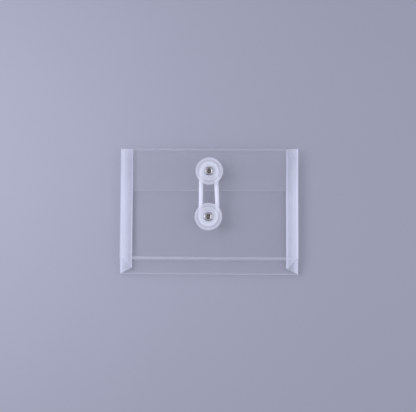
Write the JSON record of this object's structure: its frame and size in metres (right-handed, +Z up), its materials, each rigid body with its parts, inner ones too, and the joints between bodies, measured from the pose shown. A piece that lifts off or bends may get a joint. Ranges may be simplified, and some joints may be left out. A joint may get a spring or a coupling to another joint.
{
  "type": "document case",
  "caption": "Clear plastic document case with frosted expanding side gussets, a fold-over flap and a cord-and-button closure.",
  "frame": {"origin": "centre of the closed case's footprint, on the surface its back panel lies on", "axes": "+X across the case's width, +Y from the bottom gusset to the top fold, +Z up, from the back panel to the flap"},
  "size_m": [0.13, 0.0924, 0.0126],
  "materials": {
    "clear_film": "clear polypropylene film, smooth and glossy",
    "frosted_film": "frosted polypropylene film, fine matt texture",
    "milky_plastic": "translucent moulded plastic, satin",
    "nickel": "bright nickel plate",
    "elastic_cord": "white braided elastic cord"
  },
  "bodies": {
    "back": {"back_panel": "clear_film", "left_rear_seam": "frosted_film", "right_rear_seam": "frosted_film"},
    "spine": {"top_spine": "clear_film"},
    "flap": {"flap": "clear_film", "upper_backing_washer": "milky_plastic", "upper_post": "milky_plastic", "upper_rivet": "nickel"},
    "upper_button_disc": {"upper_disc": "milky_plastic"},
    "cord_loop": {"closure_cord": "elastic_cord"},
    "left_gusset_back_leaf": {"left_gusset_rear": "frosted_film"},
    "left_gusset_front_leaf": {"left_gusset_front": "frosted_film"},
    "front": {"front_panel": "clear_film", "left_front_seam": "frosted_film", "right_front_seam": "frosted_film", "lower_backing_washer": "milky_plastic", "lower_post": "milky_plastic", "lower_rivet": "nickel"},
    "lower_button_disc": {"lower_disc": "milky_plastic"},
    "right_gusset_back_leaf": {"right_gusset_rear": "frosted_film"},
    "right_gusset_front_leaf": {"right_gusset_front": "frosted_film"},
    "bottom_gusset_back_leaf": {"bottom_gusset_rear": "clear_film", "left_corner_rear": "frosted_film", "right_corner_rear": "frosted_film"},
    "bottom_gusset_front_leaf": {"bottom_gusset_front": "clear_film", "left_corner_front": "frosted_film", "right_corner_front": "frosted_film"}
  },
  "joints": [
    {"name": "spine_fold", "type": "hinge", "parent": "back", "child": "spine", "pos_m": [0, 0.0461, 0.0001], "axis": [-1, 0, 0], "range_deg": [0, 60], "deforming": ["closure_cord"]},
    {"name": "flap_fold", "type": "hinge", "parent": "spine", "child": "flap", "pos_m": [0, 0.0461, 0.0065], "axis": [-1, 0, 0], "range_deg": [0, 100]},
    {"name": "upper_disc_spin", "type": "hinge", "parent": "flap", "child": "upper_button_disc", "pos_m": [0.0002, 0.0288, 0.0116], "axis": [0, 0, 1], "continuous": true},
    {"name": "loop_swivel", "type": "hinge", "parent": "flap", "child": "cord_loop", "pos_m": [0.0002, 0.0288, 0.0083], "axis": [0, 0, 1], "continuous": true, "deforming": ["closure_cord"]},
    {"name": "left_gusset_back_fold", "type": "hinge", "parent": "back", "child": "left_gusset_back_leaf", "pos_m": [-0.0646, 0, 0.00045], "axis": [0, -1, 0], "range_deg": [0, 36.1]},
    {"name": "left_gusset_middle_fold", "type": "hinge", "parent": "left_gusset_back_leaf", "child": "left_gusset_front_leaf", "pos_m": [-0.05633, 0, 0.0028], "axis": [0, 1, 0], "range_deg": [0, 72.1]},
    {"name": "front_lift", "type": "hinge", "parent": "left_gusset_front_leaf", "child": "front", "pos_m": [-0.0646, 0, 0.00515], "axis": [0, -1, 0], "range_deg": [0, 36.1]},
    {"name": "lower_disc_spin", "type": "hinge", "parent": "front", "child": "lower_button_disc", "pos_m": [-0.00025, -0.00415, 0.0106], "axis": [0, 0, 1], "continuous": true},
    {"name": "right_gusset_back_fold", "type": "hinge", "parent": "back", "child": "right_gusset_back_leaf", "pos_m": [0.0646, 0, 0.00045], "axis": [0, 1, 0], "range_deg": [0, 36.1]},
    {"name": "right_gusset_middle_fold", "type": "hinge", "parent": "right_gusset_back_leaf", "child": "right_gusset_front_leaf", "pos_m": [0.05633, 0, 0.0028], "axis": [0, -1, 0], "range_deg": [0, 72.1]},
    {"name": "bottom_gusset_back_fold", "type": "hinge", "parent": "back", "child": "bottom_gusset_back_leaf", "pos_m": [0, -0.0345, 0.0001], "axis": [-1, 0, 0], "range_deg": [0, 23.4]},
    {"name": "bottom_gusset_middle_fold", "type": "hinge", "parent": "bottom_gusset_back_leaf", "child": "bottom_gusset_front_leaf", "pos_m": [0, -0.0462, 0.0028], "axis": [1, 0, 0], "range_deg": [0, 46.8]}
  ],
  "couplings": [
    {"joint": "flap_fold", "follows": "spine_fold", "ratio": 1.6666},
    {"joint": "left_gusset_back_fold", "follows": "spine_fold", "ratio": 0.6},
    {"joint": "left_gusset_middle_fold", "follows": "spine_fold", "ratio": 1.2},
    {"joint": "front_lift", "follows": "spine_fold", "ratio": 0.6},
    {"joint": "right_gusset_back_fold", "follows": "spine_fold", "ratio": 0.6},
    {"joint": "right_gusset_middle_fold", "follows": "spine_fold", "ratio": 1.2},
    {"joint": "bottom_gusset_back_fold", "follows": "spine_fold", "ratio": 0.3889},
    {"joint": "bottom_gusset_middle_fold", "follows": "spine_fold", "ratio": 0.7778}
  ]
}
